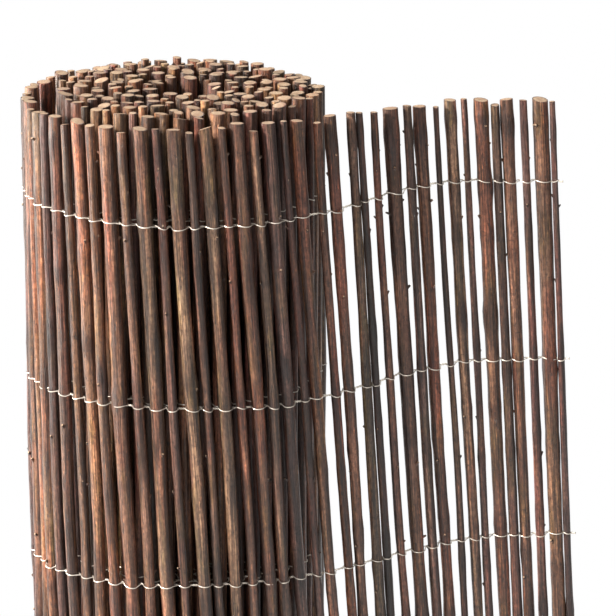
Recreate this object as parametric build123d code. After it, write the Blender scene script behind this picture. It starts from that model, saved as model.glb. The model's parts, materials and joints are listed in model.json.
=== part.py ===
"""A willow screen that stands rolled up, with its free end drawn out to the right as a loose panel.

The screen is a mat of whole willow rods that stand side by side, thick end up and thin end up in turn.
Eight rows of binding wire run along the outer face of the mat and hold every rod. The mat leaves the
panel's free end, bends round the front of the roll, makes one loose outer turn and then winds inwards
in tight turns to a small hollow core. Z is up and the viewer stands on the side of minus Y.
"""
from build123d import *
import os
from bisect import bisect_right
from collections import namedtuple
from math import cos, hypot, pi, radians, sin, sqrt, tan
from random import Random

# Rods, in millimetres
rod_length = 1000.0
butt_diameter = 9.4
butt_spread = 0.8
rod_taper = 3.6
rod_sides = 6
rod_gap = 3.4
rod_gap_spread = 0.9
least_gap = 0.3

# Uneven ends: how far rods stand up from the floor and how much their lengths differ
foot_unevenness = 3.0
length_unevenness = 3.0
roll_lift = 5.0
standing_every = 4

# Binding wire
wire_thickness = 0.9
wire_rows = 8
top_row_depth = 63.0
bottom_row_height = 65.5
wire_seat = 0.15
wire_slack = 1.2
longest_stride = 4
row_rise = 8.0
row_wobble = 2.0
wobble_length = 310.0

# Roll: the loose outer turn, and the tight turns inside it
loose_turn_diameter = 200.0
tight_roll_shift = 9.0
tight_roll_setback = 5.0
turn_clearance = 0.2
core_diameter = 44.0

# Panel, from the free end to the front of the roll
end_length = 50.0
end_bend_radius = 60.0
end_bend_angle = 27.0
straight_length = 105.0
front_bend_radius = 171.0
panel_angle = 29.0

# Lean of the rods along the mat, foot towards the free end, in degrees
free_end_lean = 3.1
panel_lean = 4.6
lean_fade_length = 275.0

# Panel rods from the free end inwards: diameter at the top, and gap to the next rod
panel_rods = [
    (3.9, 0.4),
    (10.6, 3.5),
    (5.1, 4.0),
    (8.6, 0.4),
    (5.7, 1.4),
    (9.7, 4.2),
    (4.2, 2.3),
    (8.1, 4.8),
    (3.8, 4.9),
    (8.7, 3.0),
    (5.6, 3.2),
    (10.3, 6.2),
    (4.7, 6.5),
    (4.6, 0.7),
    (5.9, 7.9),
    (8.1, 3.2),
    (5.3, 7.2),
    (8.3, 4.1),
    (4.5, 3.0),
]

# Worked out from the sizes above
flat_share = cos(pi / rod_sides)
largest_rod = (butt_diameter + butt_spread) * flat_share
layer_pitch = largest_rod + wire_seat + wire_slack + wire_thickness + turn_clearance
loose_radius = loose_turn_diameter / 2
tight_radius = loose_radius - tight_roll_shift
lead_length = rod_length * tan(radians(panel_lean))
panel_end = end_length + end_bend_radius * radians(end_bend_angle) + straight_length
quarter_turn = loose_radius * pi / 2
roll_start = panel_end + front_bend_radius * radians(panel_angle) + 3 * quarter_turn + tight_roll_setback
straight_radius = front_bend_radius * 4
row_spacing = (rod_length - top_row_depth - bottom_row_height) / (wire_rows - 1)
wire_shoulder = butt_diameter / 4
walk_step = 1.0

Place = namedtuple("Place", "distance x y heading radius")
Rod = namedtuple("Rod", "name top foot top_radius foot_radius top_height foot_height")


def walk_stretch(places, length, curl):
    """Walk one stretch of the mat's outer line, turning clockwise by the curl in radians per millimetre."""
    count = max(1, round(length / walk_step))
    stride = length / count
    for _ in range(count):
        here = places[-1]
        middle = here.heading - curl * stride / 2
        places.append(Place(
            here.distance + stride,
            here.x + stride * cos(middle),
            here.y + stride * sin(middle),
            here.heading - curl * stride,
            1 / curl if curl > 0 else straight_radius,
        ))


def walk_spiral(places):
    """Wind the tight turns inwards: the bend tightens by one layer pitch in each full turn."""
    radius = tight_radius
    while radius > core_diameter / 2:
        walk_stretch(places, walk_step, 1 / radius)
        radius -= layer_pitch / (2 * pi) * walk_step / radius


def mat_line():
    """Places along the mat's outer face, from beyond the free end to the core."""
    panel_heading = radians(180.0 + panel_angle)
    end_heading = panel_heading - radians(end_bend_angle)
    places = [Place(-lead_length, 0.0, 0.0, end_heading, straight_radius)]
    walk_stretch(places, lead_length + end_length, 0.0)
    walk_stretch(places, end_bend_radius * radians(end_bend_angle), -1 / end_bend_radius)
    walk_stretch(places, straight_length, 0.0)
    walk_stretch(places, front_bend_radius * radians(panel_angle), 1 / front_bend_radius)
    walk_stretch(places, quarter_turn, 1 / loose_radius)
    walk_stretch(places, tight_roll_setback, 0.0)
    walk_stretch(places, 2 * quarter_turn, 1 / loose_radius)
    walk_spiral(places)
    return places


def place_at(places, distance):
    """The place on the mat's outer line at a distance from the free end."""
    index = bisect_right(places, distance, key=lambda place: place.distance)
    index = min(max(index, 1), len(places) - 1)
    before = places[index - 1]
    after = places[index]
    share = (distance - before.distance) / (after.distance - before.distance)
    return Place(*(a + (b - a) * share for a, b in zip(before, after)))


def foot_shift(distance):
    """How far along the mat the foot of a rod lies from its top, towards the free end."""
    if distance < panel_end:
        angle = free_end_lean + (panel_lean - free_end_lean) * distance / panel_end
    else:
        angle = panel_lean * max(0.0, 1 - (distance - panel_end) / lean_fade_length)
    return rod_length * tan(radians(angle))


def rod_sizes():
    """Top diameter and gap behind each rod, from the free end inwards: the panel's own, then by chance."""
    yield from panel_rods
    chance = Random(7)
    butt_up = True
    while True:
        butt = butt_diameter + chance.uniform(-butt_spread, butt_spread)
        yield butt if butt_up else butt - rod_taper, rod_gap + chance.uniform(-rod_gap_spread, rod_gap_spread)
        butt_up = not butt_up


def foot_diameter(top):
    """A rod that stands thick end up tapers to its tip at the floor, and the other way round."""
    butt_up = top > butt_diameter - rod_taper / 2
    return top - rod_taper if butt_up else top + rod_taper


def node_name(index, distance):
    """Node that a rod belongs to: each panel rod has its own, the others share one for each turn."""
    if index < len(panel_rods):
        return f"panel_rod_{index + 1:02d}"
    if distance < roll_start:
        return "outer_turn_rods"
    shed_area = layer_pitch / pi * (distance - roll_start)
    radius = sqrt(max(0.0, tight_radius**2 - shed_area))
    return f"roll_turn_{int((tight_radius - radius) / layer_pitch) + 1}_rods"


def lay_rods(places):
    """Lay the rods one after another from the free end inwards, top and foot."""
    chance = Random(3)
    rods = []
    distance = 0.0
    foot_distance = -lead_length
    last_foot = 0.0
    last_top = 0.0
    last_gap = 0.0
    for index, (top, gap) in enumerate(rod_sizes()):
        radius = place_at(places, distance).radius
        crowding = radius / (radius - butt_diameter / 2)
        distance += (last_top / 2 + last_gap + top / 2) * crowding
        if distance > places[-1].distance:
            return rods
        foot = foot_diameter(top)
        least = foot_distance + (last_foot / 2 + foot / 2 + least_gap) * crowding
        foot_distance = max(least, distance - foot_shift(distance))
        in_roll = distance > roll_start
        stands = index % standing_every == 0 and not in_roll
        lift = 0.0 if stands else chance.uniform(0.3, 1.0) * foot_unevenness + roll_lift * in_roll
        drop = chance.uniform(0.0, 1.0) * length_unevenness
        rods.append(Rod(
            node_name(index, distance),
            place_at(places, distance),
            place_at(places, foot_distance),
            top / 2,
            foot / 2,
            lift + rod_length - drop,
            lift,
        ))
        last_foot = foot
        last_top = top
        last_gap = gap


def rod_section(place, radius, height, facing):
    """Corners of a rod's horizontal section, which lies inside the mat's outer line and touches it."""
    inset = radius * cos(pi / rod_sides - abs(place.heading - facing))
    x = place.x + sin(place.heading) * inset
    y = place.y - cos(place.heading) * inset
    turns = [facing + 2 * pi * corner / rod_sides for corner in range(rod_sides)]
    return [(x + radius * cos(turn), y + radius * sin(turn), height) for turn in turns]


def rod_solid(rod):
    """One willow rod, tapered from end to end, with the same facing at both ends so that its sides are flat."""
    facing = (rod.top.heading + rod.foot.heading) / 2
    top = rod_section(rod.top, rod.top_radius, rod.top_height, facing)
    foot = rod_section(rod.foot, rod.foot_radius, rod.foot_height, facing)
    outlines = [top, foot]
    for corner in range(rod_sides):
        outlines.append([foot[corner - 1], foot[corner], top[corner], top[corner - 1]])
    return Solid(Shell([Face(Wire.make_polygon(outline)) for outline in outlines]))


def face_point(rod, height):
    """Where the outer face of a rod lies at a height, with the way the mat runs there."""
    share = (height - rod.foot_height) / (rod.top_height - rod.foot_height)
    return Place(*(a + (b - a) * share for a, b in zip(rod.foot, rod.top)))


def bulge(points, first, last):
    """How far the rods between two of them stand out past the straight line that joins the two."""
    start = points[first]
    end = points[last]
    length = hypot(end.x - start.x, end.y - start.y)
    most = 0.0
    for point in points[first + 1:last]:
        side = (end.x - start.x) * (point.y - start.y) - (end.y - start.y) * (point.x - start.x)
        most = max(most, side / length)
    return most


def wire_corners(points, row):
    """Pick the rods at which a wire bends, other rods in each row, and how far it stands off each."""
    corners = [0]
    offsets = [0.0]
    while corners[-1] < len(points) - 1:
        first = corners[-1]
        longest = 1 + row % longest_stride if first == 0 else longest_stride
        last = min(first + longest, len(points) - 1)
        while last > first + 1 and bulge(points, first, last) > wire_slack:
            last -= 1
        turn = points[first].heading - points[last].heading
        offset = max(bulge(points, first, last), wire_shoulder * tan(abs(turn) / 2))
        offsets[-1] = max(offsets[-1], offset)
        offsets.append(offset)
        corners.append(last)
    return list(zip(corners, offsets))


def wire_section(point, offset, height):
    """Three-sided section of the wire at one of its corners, with its flat towards the rod."""
    normal = (-sin(point.heading), cos(point.heading), 0)
    start = (
        point.x + normal[0] * (wire_seat + offset),
        point.y + normal[1] * (wire_seat + offset),
        height,
    )
    along = (-cos(point.heading), -sin(point.heading), 0)
    half = wire_thickness / 2
    outline = Polyline((0, -half), (wire_thickness, 0), (0, half), close=True)
    return Plane(start, x_dir=normal, z_dir=along) * make_face(outline)


def wire_height(row, distance):
    """Height of a wire: level round the roll, rising towards the free end, with a slow wobble."""
    level = rod_length - top_row_depth - row * row_spacing
    outward = 1 - distance / panel_end
    rise = row_rise * min(1.0, max(0.0, 2 * outward))
    return level + rise + row_wobble * sin(2 * pi * distance / wobble_length + row)


def wire_solid(rods, row):
    """One row of binding wire along the outer face of the whole mat."""
    heights = [wire_height(row, rod.top.distance) for rod in rods]
    points = [face_point(rod, height) for rod, height in zip(rods, heights)]
    sections = [
        wire_section(points[index], offset, heights[index])
        for index, offset in wire_corners(points, row)
    ]
    return loft(sections, ruled=True)


def build():
    """Every node of the screen by name, as a list of its solids."""
    rods = lay_rods(mat_line())
    nodes = {}
    for rod in rods:
        nodes.setdefault(rod.name, []).append(rod_solid(rod))
    for row in range(wire_rows):
        nodes[f"binding_wire_{row + 1}"] = [wire_solid(rods, row)]
    return nodes


def centred(nodes):
    """Move the screen so that the origin lies on the floor in the middle of its footprint."""
    everything = Compound([solid for solids in nodes.values() for solid in solids]).bounding_box()
    middle = everything.center()
    shift = Pos(-middle.X, -middle.Y, -everything.min.Z)
    return {name: Compound([shift * solid for solid in solids]) for name, solids in nodes.items()}


os.makedirs("parts", exist_ok=True)
for name, shape in centred(build()).items():
    export_step(shape, f"parts/{name}.step")
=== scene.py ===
"""Looks of the willow screen: bark on every rod, pale cut ends and twisted binding wire."""
import bpy
import bmesh
import json
import numpy as np
from collections import namedtuple
from math import cos, pi, radians, sin
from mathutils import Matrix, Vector
from random import Random

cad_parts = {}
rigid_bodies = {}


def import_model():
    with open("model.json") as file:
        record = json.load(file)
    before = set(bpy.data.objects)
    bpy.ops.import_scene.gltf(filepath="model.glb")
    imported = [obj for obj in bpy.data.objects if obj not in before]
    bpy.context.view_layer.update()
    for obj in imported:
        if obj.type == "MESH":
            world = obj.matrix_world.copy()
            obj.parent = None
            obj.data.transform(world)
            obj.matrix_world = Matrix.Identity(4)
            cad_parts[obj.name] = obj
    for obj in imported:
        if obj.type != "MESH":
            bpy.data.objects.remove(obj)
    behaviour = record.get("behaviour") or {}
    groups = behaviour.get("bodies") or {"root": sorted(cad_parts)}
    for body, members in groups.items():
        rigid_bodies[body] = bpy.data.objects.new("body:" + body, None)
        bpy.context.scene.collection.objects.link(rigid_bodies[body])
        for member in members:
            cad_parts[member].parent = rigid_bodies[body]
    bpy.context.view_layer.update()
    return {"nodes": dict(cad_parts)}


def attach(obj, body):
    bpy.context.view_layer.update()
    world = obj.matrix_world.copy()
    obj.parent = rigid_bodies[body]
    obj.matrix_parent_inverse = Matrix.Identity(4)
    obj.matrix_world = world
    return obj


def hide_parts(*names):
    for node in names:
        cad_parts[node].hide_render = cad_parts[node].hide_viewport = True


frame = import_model()

# Camera: where the photograph was taken from, in metres and degrees
photo_size = 616
focal_pixels = 3500.0
sensor_width = 36.0
camera_pitch = 16.8
camera_place = (-0.0135, -2.2587, 1.5336)

# Master rods: one unit in radius, with lengths in those units and turns in radians
master_height = 240.0
rod_sides = 12
fine_masters = 6
fine_cuts = 110
plain_masters = 3
plain_cuts = 8
ring_crowding = 1.5
end_facing = 0.9
rim_width = 0.12
rim_height = 0.03
heart_inset = 0.55
rod_smooth_limit = radians(45)

# Uneven bark of a master rod: swellings as shares of its radius, and the paces of their waves
flute_swell = 0.03
flute_count = 3
flute_twist = 0.11
ripple_swell = 0.02
ripple_count = 2
ripple_pace = 0.9
heave_swell = 0.05
heave_start = (0, 6)
heave_pace = 0.23
heave_fade = 0.07
even_end = 3

# Knots of a master rod, each with its swelling all round and more on one side
first_knot = (2, 12)
knot_spacing = (8, 22)
last_knot_margin = 2
knot_length = 2.0
knot_swell = (0.04, 0.24)
knot_all_round = 0.35
knot_one_side = 0.65
knot_focus = 3

# Stubs of cut side twigs on a fine master rod
stub_count = 9
stub_sides = 7
stub_crowding = 1.6
stub_zone = 0.97
stub_drop = 4
stub_lean = (0.5, 1.1)
stub_length = (0.33, 0.715)
stub_root = 0.4
stub_seat = 0.75
stub_foot_radius = 0.27
stub_tip_radius = (0.14, 0.2)

# Rods in their places: room to wander in metres, and the shares and paces of its slow and quick waves
most_wander = 0.0017
gap_share = 0.45
east_waves = ((0.7, 9.0), (0.3, 27.0))
north_waves = ((0.7, 8.0), (0.3, 23.0))

# How one rod differs from the next
end_slant = 0.12
slant_zone = 0.015
grain_shift = (0, 9)
rod_shade = (0.68, 1.28)
rod_tint = (0.94, 1.06)
knot_contrast = 8

# Seeds of the random draws
tone_seed = 11
plain_seed = 50
stub_seed = 500
rod_seed = 1000

# Binding wire, in metres, with its lap round a rod in degrees
strand_radius = 0.00034
twist_radius = 0.00046
wide_gap = 0.0042
wire_tail = 0.0035
wire_play = 0.0009
wire_sag = 0.0008
least_tilt = -0.6
wire_standoff = 1.02
wire_lap = 38
gap_edge = 0.92
fine_steps = 5
plain_steps = 3
wide_half_turns = 3
close_half_turns = 1
wire_smooth_limit = radians(60)

# Reading the CAD: how close two points are one, and how many corners and rods give a row's height
weld_distance = 1e-6
corners_read = 6
row_smoothing = 5

# Floor, in metres
floor_radius = 3.0
floor_drop = 0.0005
fade_start = 0.5
fade_end = 1.3

# Bark colours, as linear red, green and blue
bark_tones = {
    "brown": (0.166, 0.088, 0.055),
    "red_brown": (0.158, 0.071, 0.047),
    "purple_brown": (0.122, 0.066, 0.055),
    "grey_brown": (0.154, 0.099, 0.068),
    "olive": (0.144, 0.089, 0.049),
    "tan": (0.230, 0.137, 0.078),
    "dark": (0.079, 0.044, 0.032),
}
panel_tones = [
    "purple_brown", "brown", "purple_brown", "brown", "dark", "brown", "purple_brown", "grey_brown",
    "dark", "brown", "purple_brown", "brown", "red_brown", "dark", "grey_brown", "brown", "red_brown",
    "brown", "purple_brown",
]
roll_tones = ["brown", "brown", "red_brown", "purple_brown", "grey_brown", "olive", "tan", "tan", "dark"]

RodSpace = namedtuple("RodSpace", "node foot top foot_radius top_radius seed wander")


def select_none():
    """Deselect every object."""
    bpy.ops.object.select_all(action="DESELECT")


def node_islands(name):
    """The separate solids of a CAD node, each as an array of its points, in the node's own order."""
    mesh = bmesh.new()
    mesh.from_mesh(bpy.data.objects[name].data)
    bmesh.ops.remove_doubles(mesh, verts=mesh.verts, dist=weld_distance)
    mesh.verts.ensure_lookup_table()
    seen = set()
    islands = []
    for start in mesh.verts:
        if start in seen:
            continue
        island = []
        queue = [start]
        seen.add(start)
        while queue:
            vertex = queue.pop()
            island.append(vertex.co.copy())
            for edge in vertex.link_edges:
                other = edge.other_vert(vertex)
                if other not in seen:
                    seen.add(other)
                    queue.append(other)
        islands.append(np.array(island))
    mesh.free()
    return islands


def read_rods():
    """Every rod of the mat from the free end inwards, with its ends as the CAD has them."""
    turns = sorted(name for name in frame["nodes"] if name.startswith("roll_turn"))
    panel = sorted(name for name in frame["nodes"] if name.startswith("panel_rod"))
    rods = []
    for name in panel + ["outer_turn_rods"] + turns:
        for points in node_islands(name):
            middle = (points[:, 2].min() + points[:, 2].max()) / 2
            low = points[points[:, 2] < middle]
            high = points[points[:, 2] > middle]
            foot = low.mean(axis=0)
            top = high.mean(axis=0)
            foot_radius = np.hypot(*(low - foot)[:, :2].T).mean()
            top_radius = np.hypot(*(high - top)[:, :2].T).mean()
            rods.append(RodSpace(name, foot, top, foot_radius, top_radius, len(rods), 0.0))
    return [rod._replace(wander=room_to_wander(rods, index)) for index, rod in enumerate(rods)]


def room_to_wander(rods, index):
    """How far a rod may stray from its straight line, from the gaps to the rods beside it."""
    rod = rods[index]
    room = most_wander
    for other in rods[max(index - 1, 0):index] + rods[index + 1:index + 2]:
        for one, two in ((rod.foot, other.foot), (rod.top, other.top)):
            apart = np.linalg.norm((one - two)[:2])
            reach = (rod.foot_radius + rod.top_radius + other.foot_radius + other.top_radius) / 2
            room = min(room, gap_share * max(0.0, apart - reach))
    return room


def rod_centre(rod, share):
    """Middle of a rod at a share of its height, with the slight wander of a grown stem."""
    chance = Random(rod.seed)
    sway = rod.wander * np.sin(pi * np.clip(share, 0, 1)) ** 0.5
    line = rod.foot + np.multiply.outer(share, rod.top - rod.foot)
    for axis, waves in enumerate((east_waves, north_waves)):
        for part, pace in waves:
            line[..., axis] += sway * part * np.sin(pace * share + chance.uniform(0, 2 * pi))
    return line


def rod_radius(rod, share):
    """Radius of a rod at a share of its height."""
    return rod.foot_radius + (rod.top_radius - rod.foot_radius) * share


def add_stubs(rod, materials, seed):
    """Short stubs where side twigs were cut off."""
    chance = Random(stub_seed + seed)
    parts = [rod]
    for _ in range(stub_count):
        height = master_height * (1 - chance.random() ** stub_crowding * stub_zone) - stub_drop
        turn = chance.uniform(0, 2 * pi)
        lean = chance.uniform(*stub_lean)
        length = chance.uniform(*stub_length)
        tip_radius = chance.uniform(*stub_tip_radius)
        reach = stub_seat + length / 2 * sin(lean)
        bpy.ops.mesh.primitive_cone_add(
            vertices=stub_sides, radius1=stub_foot_radius, radius2=tip_radius, depth=length + stub_root,
            location=(reach * cos(turn), reach * sin(turn), height), rotation=(0, lean, turn))
        stub = bpy.context.object
        for material in materials:
            stub.data.materials.append(material)
        # The two flat ends are cut wood and the sides are bark
        for face in stub.data.polygons:
            face.material_index = 1 if len(face.vertices) > 4 else 0
        bpy.ops.object.transform_apply()
        bpy.ops.object.shade_smooth_by_angle(angle=rod_smooth_limit)
        parts.append(stub)
    return join_pieces(parts, rod.name)


def rod_master(name, cuts, materials, seed):
    """A rod one unit in radius: rings along its height, swellings at its knots and a rim at each cut end."""
    select_none()
    bpy.ops.mesh.primitive_cylinder_add(
        vertices=rod_sides, radius=1, depth=master_height, location=(0, 0, master_height / 2),
        end_fill_type="NGON")
    rod = bpy.context.object
    rod.name = name
    bpy.ops.object.transform_apply(location=True)
    bpy.ops.object.mode_set(mode="EDIT")
    mesh = bmesh.from_edit_mesh(rod.data)
    for edge in mesh.edges:
        edge.select_set(abs(edge.verts[0].co.z - edge.verts[1].co.z) > master_height / 2)
    bmesh.update_edit_mesh(rod.data)
    bpy.ops.mesh.subdivide(number_cuts=cuts)
    bpy.ops.object.mode_set(mode="OBJECT")
    grow_knots(rod, seed)
    bpy.ops.object.mode_set(mode="EDIT")
    bpy.ops.mesh.select_mode(type="FACE")
    mesh = bmesh.from_edit_mesh(rod.data)
    for face in mesh.faces:
        face.select_set(abs(face.normal.z) > end_facing)
    bmesh.update_edit_mesh(rod.data)
    bpy.ops.mesh.inset(thickness=rim_width, depth=rim_height)
    # Inside its rim each end is cut wood
    mesh = bmesh.from_edit_mesh(rod.data)
    for face in mesh.faces:
        face.material_index = 1 if face.select else 0
    bmesh.update_edit_mesh(rod.data)
    bpy.ops.mesh.inset(thickness=heart_inset, depth=0.0)
    bpy.ops.object.mode_set(mode="OBJECT")
    bpy.ops.object.shade_smooth_by_angle(angle=rod_smooth_limit)
    for material in materials:
        rod.data.materials.append(material)
    if cuts > plain_cuts:
        rod = add_stubs(rod, materials, seed)
    rod.data.attributes.new("grain", "FLOAT_VECTOR", "POINT")
    rod.data.attributes.new("tone", "FLOAT_COLOR", "POINT")
    rod.data.attributes.new("knot", "FLOAT", "POINT")
    return rod


def grow_knots(rod, seed):
    """Crowd the rings towards the top, and swell the bark round each knot on the side it grew on."""
    chance = Random(seed)
    points = np.empty(len(rod.data.vertices) * 3)
    rod.data.vertices.foreach_get("co", points)
    points = points.reshape(-1, 3)
    share = points[:, 2] / master_height
    points[:, 2] = master_height * (1 - (1 - share) ** ring_crowding)
    up = points[:, 2]
    turn = np.arctan2(points[:, 1], points[:, 0])
    swell = flute_swell * np.sin(flute_count * turn + up * flute_twist)
    swell += ripple_swell * np.sin(up * ripple_pace + ripple_count * turn)
    swell += heave_swell * np.sin(up * heave_pace + chance.uniform(*heave_start)) * np.sin(up * heave_fade)
    height = chance.uniform(*first_knot)
    while height < master_height - last_knot_margin:
        side = chance.uniform(0, 2 * pi)
        near = np.exp(-((up - height) / knot_length) ** 2)
        facing = np.maximum(0, np.cos(turn - side)) ** knot_focus
        swell += chance.uniform(*knot_swell) * near * (knot_all_round + knot_one_side * facing)
        height += chance.uniform(*knot_spacing)
    swell *= np.clip((master_height - up) / even_end, 0, 1) * np.clip(up / even_end, 0, 1)
    points[:, :2] *= (1 + swell)[:, None]
    rod.data.vertices.foreach_set("co", points.ravel())
    rod.data.update()


def place_rod(master, rod, tone):
    """A copy of a master rod fitted between the ends of one rod of the mat."""
    chance = Random(rod_seed + rod.seed)
    piece = master.copy()
    piece.data = master.data.copy()
    bpy.context.collection.objects.link(piece)
    count = len(piece.data.vertices)
    points = np.empty(count * 3)
    piece.data.vertices.foreach_get("co", points)
    points = points.reshape(-1, 3)
    share = points[:, 2] / master_height
    turn = chance.uniform(0, 2 * pi)
    reach = rod_radius(rod, np.clip(share, 0, 1))
    across = points[:, 0] * cos(turn) - points[:, 1] * sin(turn)
    along = points[:, 0] * sin(turn) + points[:, 1] * cos(turn)
    placed = rod_centre(rod, share)
    placed[:, 0] += across * reach
    placed[:, 1] += along * reach
    slope = end_slant * abs(chance.gauss(0, 1))
    downhill = chance.uniform(0, 2 * pi)
    near_top = np.clip((share - 1 + slant_zone) / slant_zone, 0, 1)
    fall = 1 + across * cos(downhill) + along * sin(downhill)
    placed[:, 2] -= near_top * np.maximum(0, fall) * slope * reach
    piece.data.vertices.foreach_set("co", placed.ravel())
    grain = np.stack([across * reach, along * reach, points[:, 2] / master_height], axis=1)
    grain += [chance.uniform(*grain_shift) for _ in range(3)]
    piece.data.attributes["grain"].data.foreach_set("vector", grain.ravel())
    shade = chance.uniform(*rod_shade)
    colour = [channel * shade * chance.uniform(*rod_tint) for channel in bark_tones[tone]] + [1.0]
    piece.data.attributes["tone"].data.foreach_set("color", np.tile(colour, count))
    bulge = np.hypot(points[:, 0], points[:, 1]) - 1.0
    piece.data.attributes["knot"].data.foreach_set("value", np.clip(bulge * knot_contrast, 0, 1))
    return piece


def join_pieces(pieces, name):
    """One object of several pieces, under a new name."""
    select_none()
    for piece in pieces:
        piece.select_set(True)
    bpy.context.view_layer.objects.active = pieces[0]
    if len(pieces) > 1:
        bpy.ops.object.join()
    joined = bpy.context.object
    joined.name = name
    joined.data.name = name
    return joined


def make_rods(rods, materials):
    """All rods of the mat: fine ones where they show from the side, plainer ones inside the roll."""
    fine = [rod_master(f"fine_master_{number}", fine_cuts, materials, number)
            for number in range(fine_masters)]
    plain = [rod_master(f"plain_master_{number}", plain_cuts, materials, plain_seed + number)
             for number in range(plain_masters)]
    chance = Random(tone_seed)
    groups = {}
    for rod in rods:
        tone = chance.choice(roll_tones)
        if rod.node.startswith("panel_rod"):
            tone = panel_tones[rod.seed % len(panel_tones)]
        masters = plain if rod.node.startswith("roll_turn") else fine
        groups.setdefault(rod.node, []).append(place_rod(chance.choice(masters), rod, tone))
    for node, pieces in groups.items():
        piece = join_pieces(pieces, f"willow_{node}")
        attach(piece, "root")
        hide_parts(node)
    for master in fine + plain:
        bpy.data.objects.remove(master, do_unlink=True)


def row_heights(name, rods):
    """Height of one row of wire at every rod, read from the nearest corners of the CAD wire and smoothed."""
    points = node_islands(name)[0]
    heights = []
    for rod in rods:
        share = (points[:, 2].mean() - rod.foot[2]) / (rod.top[2] - rod.foot[2])
        centre = rod_centre(rod, np.array(share))
        nearest = np.argsort(np.hypot(points[:, 0] - centre[0], points[:, 1] - centre[1]))[:corners_read]
        heights.append(points[nearest, 2].mean())
    padded = np.pad(heights, row_smoothing // 2, mode="edge")
    return np.convolve(padded, np.ones(row_smoothing) / row_smoothing, mode="valid")


def strand_points(rods, heights, strand, fine_count, chance):
    """Path of one strand: round the front of one rod and the back of the next, twisted in each gap."""
    shares = [(height - rod.foot[2]) / (rod.top[2] - rod.foot[2]) for rod, height in zip(rods, heights)]
    centres = np.array([rod_centre(rod, np.array(share)) for rod, share in zip(rods, shares)])
    reaches = [rod_radius(rod, share) * wire_standoff + strand_radius for rod, share in zip(rods, shares)]
    up = np.array([0, 0, 1.0])
    lifts = [wire_play * chance.uniform(-1, 1) for _ in rods]
    tilts = [wire_play * chance.uniform(least_tilt, 1) for _ in rods]
    path = []
    for index, centre in enumerate(centres):
        before = centres[max(index - 1, 0)]
        after = centres[min(index + 1, len(centres) - 1)]
        along = after - before
        along[2] = 0
        along /= np.linalg.norm(along)
        outward = np.array([-along[1], along[0], 0])
        side = 1 if (index + strand) % 2 == 0 else -1
        fine = index < fine_count
        reach = reaches[index]
        steps = fine_steps if fine else plain_steps
        if index == 0:
            tail = centre - along * (reach + wire_tail)
            path.extend(twist(tail, centre - along * reach, side, wide_half_turns, up, outward))
        for step in range(steps):
            angle = radians(wire_lap + (180 - 2 * wire_lap) * step / (steps - 1))
            lift = lifts[index] - tilts[index] * cos(angle) - wire_sag * sin(angle)
            path.append(centre - along * reach * cos(angle) + outward * side * reach * sin(angle) + up * lift)
        if index < len(centres) - 1:
            leave = centre + along * reach * gap_edge
            onward = centres[index + 1] - centre
            onward /= np.linalg.norm(onward)
            enter = centres[index + 1] - onward * reaches[index + 1] * gap_edge
            gap = np.linalg.norm(enter - leave)
            halves = wide_half_turns if gap > wide_gap and fine else close_half_turns
            path.extend(twist(leave, enter, side, halves, up, outward))
    return path


def twist(start, end, side, halves, up, outward):
    """Points of one strand where the pair is twisted, through an odd number of half turns."""
    count = 2 * halves + 1
    points = []
    for step in range(1, count):
        share = step / count
        angle = pi * halves * share
        points.append(start + (end - start) * share
                      + twist_radius * (outward * side * cos(angle) + up * side * sin(angle)))
    return points


def make_strand(name, path, material, node):
    """One strand of wire as a round bar along its path."""
    curve = bpy.data.curves.new(name, "CURVE")
    curve.dimensions = "3D"
    curve.bevel_depth = strand_radius
    curve.bevel_resolution = 1
    curve.use_fill_caps = True
    spline = curve.splines.new("POLY")
    spline.points.add(len(path) - 1)
    for point, place in zip(spline.points, path):
        point.co = (*place, 1)
    bar = bpy.data.objects.new(name, curve)
    bpy.context.collection.objects.link(bar)
    select_none()
    bar.select_set(True)
    bpy.context.view_layer.objects.active = bar
    bpy.ops.object.convert(target="MESH")
    piece = bpy.context.object
    piece.name = name
    bpy.ops.object.mode_set(mode="EDIT")
    bpy.ops.mesh.select_all(action="SELECT")
    bpy.ops.mesh.remove_doubles(threshold=weld_distance)
    bpy.ops.object.mode_set(mode="OBJECT")
    bpy.ops.object.shade_smooth_by_angle(angle=wire_smooth_limit)
    piece.data.materials.clear()
    piece.data.materials.append(material)
    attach(piece, "root")
    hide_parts(node)


def make_wires(rods, material):
    """Two strands in every row of binding wire."""
    fine_count = sum(not rod.node.startswith("roll_turn") for rod in rods)
    rows = sorted(name for name in frame["nodes"] if name.startswith("binding_wire"))
    for row, name in enumerate(rows):
        heights = row_heights(name, rods)
        for strand in (0, 1):
            path = strand_points(rods, heights, strand, fine_count, Random(row))
            make_strand(f"{name}_strand_{strand + 1}", path, material, name)


def new_material(name):
    """An empty material and its node tree."""
    material = bpy.data.materials.new(name)
    material.use_nodes = True
    material.node_tree.nodes.clear()
    return material, material.node_tree


def add(tree, kind, **settings):
    """A new node with its settings."""
    node = tree.nodes.new(kind)
    for key, value in settings.items():
        setattr(node, key, value)
    return node


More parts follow.
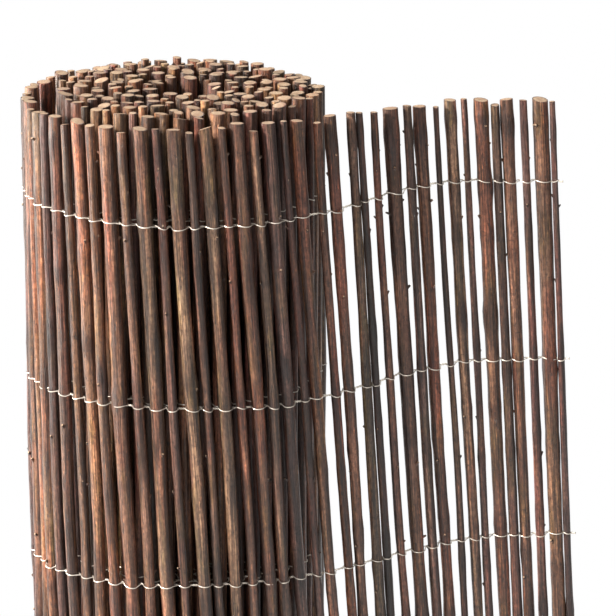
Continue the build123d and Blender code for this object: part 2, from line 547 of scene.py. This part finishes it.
def streaks_group():
    """Long streaks along a rod: a mask from a noise that is stretched in the rod's own length."""
    group = bpy.data.node_groups.new("willow_streaks", "ShaderNodeTree")
    group.interface.new_socket("Vector", in_out="INPUT", socket_type="NodeSocketVector")
    group.interface.new_socket("Across", in_out="INPUT", socket_type="NodeSocketFloat")
    group.interface.new_socket("Along", in_out="INPUT", socket_type="NodeSocketFloat")
    group.interface.new_socket("Low", in_out="INPUT", socket_type="NodeSocketFloat")
    group.interface.new_socket("High", in_out="INPUT", socket_type="NodeSocketFloat")
    group.interface.new_socket("Mask", in_out="OUTPUT", socket_type="NodeSocketFloat")
    start = add(group, "NodeGroupInput")
    end = add(group, "NodeGroupOutput")
    stretch = add(group, "ShaderNodeCombineXYZ")
    scaled = add(group, "ShaderNodeVectorMath", operation="MULTIPLY")
    noise = add(group, "ShaderNodeTexNoise")
    noise.inputs["Scale"].default_value = 1.0
    noise.inputs["Detail"].default_value = 4.0
    noise.inputs["Roughness"].default_value = 0.6
    span = add(group, "ShaderNodeMapRange", interpolation_type="SMOOTHSTEP")
    link = group.links.new
    link(start.outputs["Across"], stretch.inputs["X"])
    link(start.outputs["Across"], stretch.inputs["Y"])
    link(start.outputs["Along"], stretch.inputs["Z"])
    link(start.outputs["Vector"], scaled.inputs[0])
    link(stretch.outputs["Vector"], scaled.inputs[1])
    link(scaled.outputs["Vector"], noise.inputs["Vector"])
    link(noise.outputs["Fac"], span.inputs["Value"])
    link(start.outputs["Low"], span.inputs["From Min"])
    link(start.outputs["High"], span.inputs["From Max"])
    link(span.outputs["Result"], end.inputs["Mask"])
    return group


def place_streaks(tree, group, vector, across, along, low, high):
    """The streaks mask with its own fineness across and along the rod, and its own limits."""
    node = add(tree, "ShaderNodeGroup", node_tree=group)
    node.inputs["Across"].default_value = across
    node.inputs["Along"].default_value = along
    node.inputs["Low"].default_value = low
    node.inputs["High"].default_value = high
    tree.links.new(vector, node.inputs["Vector"])
    return node.outputs["Mask"]


def mix_colour(tree, factor, first, second, blend="MIX"):
    """Mix two colours, each a socket or a plain colour, by a factor that is a socket or a number."""
    node = add(tree, "ShaderNodeMix", data_type="RGBA", blend_type=blend)
    # The colour sockets of this node come after its number and vector ones
    for value, socket in ((factor, node.inputs[0]), (first, node.inputs[6]), (second, node.inputs[7])):
        if isinstance(value, bpy.types.NodeSocket):
            tree.links.new(value, socket)
        else:
            socket.default_value = value
    return node.outputs[2]


def tint(tree, mask, colour, shift, outside=False):
    """Multiply a colour by a shift inside a mask, or outside it."""
    shifted = mix_colour(tree, 1.0, colour, (*shift, 1), "MULTIPLY")
    first, second = (shifted, colour) if outside else (colour, shifted)
    return mix_colour(tree, mask, first, second)


def bark_material(streaks):
    """Satin willow bark: the rod's own tone with long streaks, dark knots and pale flecks."""
    material, tree = new_material("willow_bark_skin")
    link = tree.links.new
    output = add(tree, "ShaderNodeOutputMaterial")
    shader = add(tree, "ShaderNodeBsdfPrincipled")
    grain = add(tree, "ShaderNodeAttribute", attribute_name="grain").outputs["Vector"]
    tone = add(tree, "ShaderNodeAttribute", attribute_name="tone").outputs["Color"]
    knot = add(tree, "ShaderNodeAttribute", attribute_name="knot").outputs["Fac"]
    broad = place_streaks(tree, streaks, grain, 260.0, 9.0, 0.38, 0.66)
    fine = place_streaks(tree, streaks, grain, 1400.0, 22.0, 0.40, 0.62)
    patches = place_streaks(tree, streaks, grain, 90.0, 17.0, 0.42, 0.60)
    scars = place_streaks(tree, streaks, grain, 120.0, 260.0, 0.64, 0.70)
    mottle = place_streaks(tree, streaks, grain, 520.0, 300.0, 0.44, 0.58)
    blush = place_streaks(tree, streaks, grain, 70.0, 9.0, 0.45, 0.62)
    moss = place_streaks(tree, streaks, grain, 110.0, 24.0, 0.50, 0.66)
    flecks = place_streaks(tree, streaks, grain, 900.0, 150.0, 0.60, 0.70)
    specks = place_streaks(tree, streaks, grain, 620.0, 230.0, 0.58, 0.66)
    pale = mix_colour(tree, 1.0, tone, (1.8, 1.72, 1.6, 1), "MULTIPLY")
    dark = mix_colour(tree, 1.0, tone, (0.40, 0.36, 0.36, 1), "MULTIPLY")
    colour = mix_colour(tree, broad, dark, pale)
    colour = tint(tree, patches, colour, (1.38, 1.32, 1.25))
    colour = tint(tree, blush, colour, (1.18, 0.86, 0.84))
    colour = tint(tree, moss, colour, (0.94, 1.04, 0.78))
    colour = tint(tree, mottle, colour, (0.60, 0.56, 0.56), outside=True)
    colour = tint(tree, scars, colour, (0.45, 0.42, 0.40))
    colour = tint(tree, fine, colour, (0.42, 0.40, 0.38), outside=True)
    colour = tint(tree, flecks, colour, (2.3, 2.1, 1.9))
    colour = tint(tree, specks, colour, (0.38, 0.34, 0.32))
    colour = tint(tree, knot, colour, (0.40, 0.34, 0.32))
    link(colour, shader.inputs["Base Color"])
    rough = add(tree, "ShaderNodeMapRange")
    rough.inputs["To Min"].default_value = 0.27
    rough.inputs["To Max"].default_value = 0.48
    link(fine, rough.inputs["Value"])
    link(rough.outputs["Result"], shader.inputs["Roughness"])
    shader.inputs["Coat Weight"].default_value = 0.4
    shader.inputs["Coat Roughness"].default_value = 0.36
    bump = add(tree, "ShaderNodeBump")
    bump.inputs["Strength"].default_value = 0.6
    bump.inputs["Distance"].default_value = 0.0005
    relief = add(tree, "ShaderNodeMath", operation="SUBTRACT")
    link(fine, relief.inputs[0])
    link(specks, relief.inputs[1])
    link(relief.outputs["Value"], bump.inputs["Height"])
    link(bump.outputs["Normal"], shader.inputs["Normal"])
    link(shader.outputs["BSDF"], output.inputs["Surface"])
    return material


def cut_end_material(streaks):
    """Sawn willow: pale wood with saw marks, darker stains and some of the rod's own tone."""
    material, tree = new_material("cut_willow_wood")
    link = tree.links.new
    output = add(tree, "ShaderNodeOutputMaterial")
    shader = add(tree, "ShaderNodeBsdfPrincipled")
    grain = add(tree, "ShaderNodeAttribute", attribute_name="grain").outputs["Vector"]
    tone = add(tree, "ShaderNodeAttribute", attribute_name="tone").outputs["Color"]
    saw = place_streaks(tree, streaks, grain, 900.0, 1.0, 0.35, 0.70)
    stain = place_streaks(tree, streaks, grain, 180.0, 1.0, 0.42, 0.62)
    colour = mix_colour(tree, saw, (0.33, 0.235, 0.155, 1), (0.50, 0.39, 0.27, 1))
    colour = mix_colour(tree, stain, colour, (0.30, 0.20, 0.13, 1))
    colour = mix_colour(tree, 0.25, colour, tone)
    link(colour, shader.inputs["Base Color"])
    shader.inputs["Roughness"].default_value = 0.8
    bump = add(tree, "ShaderNodeBump")
    bump.inputs["Strength"].default_value = 0.5
    bump.inputs["Distance"].default_value = 0.0003
    link(saw, bump.inputs["Height"])
    link(bump.outputs["Normal"], shader.inputs["Normal"])
    link(shader.outputs["BSDF"], output.inputs["Surface"])
    return material


def wire_material():
    """Galvanised wire: bright zinc with duller, warmer patches."""
    material, tree = new_material("galvanised_strand")
    link = tree.links.new
    output = add(tree, "ShaderNodeOutputMaterial")
    shader = add(tree, "ShaderNodeBsdfPrincipled")
    place = add(tree, "ShaderNodeTexCoord")
    noise = add(tree, "ShaderNodeTexNoise")
    noise.inputs["Scale"].default_value = 260.0
    noise.inputs["Detail"].default_value = 3.0
    link(place.outputs["Object"], noise.inputs["Vector"])
    colour = mix_colour(tree, noise.outputs["Fac"], (0.86, 0.81, 0.73, 1), (0.60, 0.56, 0.49, 1))
    link(colour, shader.inputs["Base Color"])
    shader.inputs["Metallic"].default_value = 0.75
    rough = add(tree, "ShaderNodeMapRange")
    rough.inputs["To Min"].default_value = 0.28
    rough.inputs["To Max"].default_value = 0.55
    link(noise.outputs["Fac"], rough.inputs["Value"])
    link(rough.outputs["Result"], shader.inputs["Roughness"])
    link(shader.outputs["BSDF"], output.inputs["Surface"])
    return material


def make_camera():
    """Look down on the screen from the front, as the photograph does."""
    bpy.ops.object.camera_add(location=camera_place, rotation=(radians(90 - camera_pitch), 0, 0))
    camera = bpy.context.object
    camera.data.sensor_width = sensor_width
    camera.data.lens = sensor_width * focal_pixels / photo_size
    camera.data.clip_end = 50.0
    bpy.context.scene.camera = camera


def add_area_lamp(name, place, aim, size, power, colour):
    """A square lamp that faces the point it is aimed at."""
    bpy.ops.object.light_add(type="AREA", location=place)
    lamp = bpy.context.object
    lamp.name = name
    lamp.data.size = size
    lamp.data.energy = power
    lamp.data.color = colour
    lamp.rotation_euler = (Vector(aim) - Vector(place)).to_track_quat("-Z", "Y").to_euler()


def make_lights():
    """A sharp warm window light and an edge light from the left, two weak fills and an even pale world."""
    aim = (0, 0, 0.75)
    add_area_lamp("window_light", (-2.7, -1.4, 1.9), aim, 0.4, 280.0, (1.0, 0.93, 0.86))
    add_area_lamp("edge_light", (-2.6, 0.45, 1.1), aim, 1.2, 145.0, (1.0, 0.95, 0.88))
    add_area_lamp("top_light", (0.4, 0.8, 3.0), aim, 0.8, 48.0, (1.0, 0.96, 0.90))
    add_area_lamp("front_fill", (-0.5, -3.0, 1.7), aim, 0.6, 26.0, (1.0, 0.93, 0.91))
    world = bpy.data.worlds.new("studio")
    bpy.context.scene.world = world
    world.use_nodes = True
    tree = world.node_tree
    tree.nodes.clear()
    output = add(tree, "ShaderNodeOutputWorld")
    soft = add(tree, "ShaderNodeBackground")
    soft.inputs["Color"].default_value = (1.0, 0.95, 0.90, 1)
    soft.inputs["Strength"].default_value = 0.30
    white = add(tree, "ShaderNodeBackground")
    white.inputs["Color"].default_value = (1, 1, 1, 1)
    white.inputs["Strength"].default_value = 1.0
    path = add(tree, "ShaderNodeLightPath")
    mix = add(tree, "ShaderNodeMixShader")
    tree.links.new(path.outputs["Is Camera Ray"], mix.inputs["Fac"])
    tree.links.new(soft.outputs["Background"], mix.inputs[1])
    tree.links.new(white.outputs["Background"], mix.inputs[2])
    tree.links.new(mix.outputs["Shader"], output.inputs["Surface"])


def make_floor():
    """A round floor that keeps the screen's shadow and fades into the white backdrop round it."""
    bpy.ops.mesh.primitive_circle_add(
        vertices=96, radius=floor_radius, location=(0, 0, -floor_drop), fill_type="NGON")
    floor = bpy.context.object
    floor.name = "studio_floor"
    material, tree = new_material("white_floor")
    output = add(tree, "ShaderNodeOutputMaterial")
    shader = add(tree, "ShaderNodeBsdfPrincipled")
    shader.inputs["Base Color"].default_value = (0.72, 0.72, 0.72, 1)
    shader.inputs["Roughness"].default_value = 0.9
    white = add(tree, "ShaderNodeEmission")
    white.inputs["Strength"].default_value = 1.0
    place = add(tree, "ShaderNodeTexCoord")
    length = add(tree, "ShaderNodeVectorMath", operation="LENGTH")
    fade = add(tree, "ShaderNodeMapRange", interpolation_type="SMOOTHSTEP")
    fade.inputs["From Min"].default_value = fade_start
    fade.inputs["From Max"].default_value = fade_end
    mix = add(tree, "ShaderNodeMixShader")
    tree.links.new(place.outputs["Object"], length.inputs[0])
    tree.links.new(length.outputs["Value"], fade.inputs["Value"])
    tree.links.new(fade.outputs["Result"], mix.inputs["Fac"])
    tree.links.new(shader.outputs["BSDF"], mix.inputs[1])
    tree.links.new(white.outputs["Emission"], mix.inputs[2])
    tree.links.new(mix.outputs["Shader"], output.inputs["Surface"])
    floor.data.materials.append(material)


make_camera()
make_lights()
make_floor()
all_rods = read_rods()
streaks = streaks_group()
make_rods(all_rods, [bark_material(streaks), cut_end_material(streaks)])
make_wires(all_rods, wire_material())
bpy.context.scene.view_settings.view_transform = "Standard"
